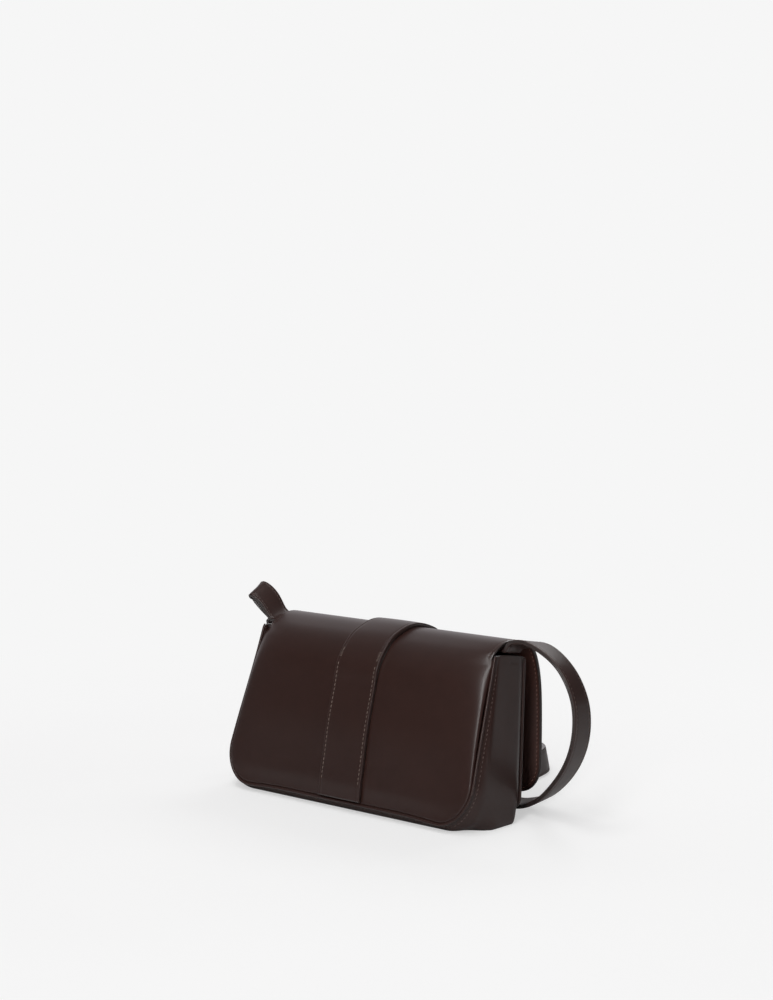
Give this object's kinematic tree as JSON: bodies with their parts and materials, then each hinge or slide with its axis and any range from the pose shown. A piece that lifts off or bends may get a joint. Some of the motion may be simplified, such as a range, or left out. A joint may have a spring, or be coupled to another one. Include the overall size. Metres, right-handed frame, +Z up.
{
  "type": "crossbody bag",
  "caption": "Small structured crossbody bag: boxy leather body with piped seams, a full fold-over flap closed by a hidden snap, a wide centre band and a long flat shoulder strap.",
  "frame": {"origin": "middle of the bag's own box, without the free strap, on the floor it stands on", "axes": "+X along the width, -Y the side that the flap hangs down, +Y the plain back that the picture shows, +Z up"},
  "size_m": [0.3344, 0.2281, 0.1545],
  "materials": {
    "leather": "smooth satin dark brown",
    "band_leather": "smooth satin dark brown, edge-painted",
    "strap_leather": "smooth satin dark brown, edge-painted",
    "inner_leather": "matte dark brown",
    "flap_lining": "matte red-brown",
    "lining": "matte red-brown twill",
    "board": "grey-brown fibreboard",
    "snap_metal": "polished",
    "magnet": "sintered, dull",
    "plate_metal": "zinc-plated"
  },
  "bodies": {
    "body": {"gusset": "leather", "back_panel": "leather", "front_panel": "leather", "welt_back": "leather", "welt_front": "leather", "base_board": "board", "back_board": "board", "front_board": "board", "lining_gusset": "lining", "lining_back": "lining", "lining_front": "lining", "facing_back": "inner_leather", "facing_front": "inner_leather", "facing_right": "inner_leather", "facing_left": "inner_leather", "slip_pocket": "lining", "band_back": "band_leather", "snap_socket": "snap_metal", "snap_magnet": "magnet", "snap_socket_plate": "plate_metal", "strap_tab_right": "strap_leather", "strap_tab_left": "strap_leather", "strap": "strap_leather"},
    "flap": {"flap_outer": "leather", "flap_board": "board", "flap_lining": "flap_lining", "band_flap": "band_leather", "snap_stud": "snap_metal", "snap_stud_plate": "plate_metal"}
  },
  "joints": [
    {"name": "flap_lift", "type": "hinge", "parent": "body", "child": "flap", "pos_m": [0, 0.01716, 0.12865], "axis": [-1, 0, 0], "range_deg": [0, 150]}
  ]
}
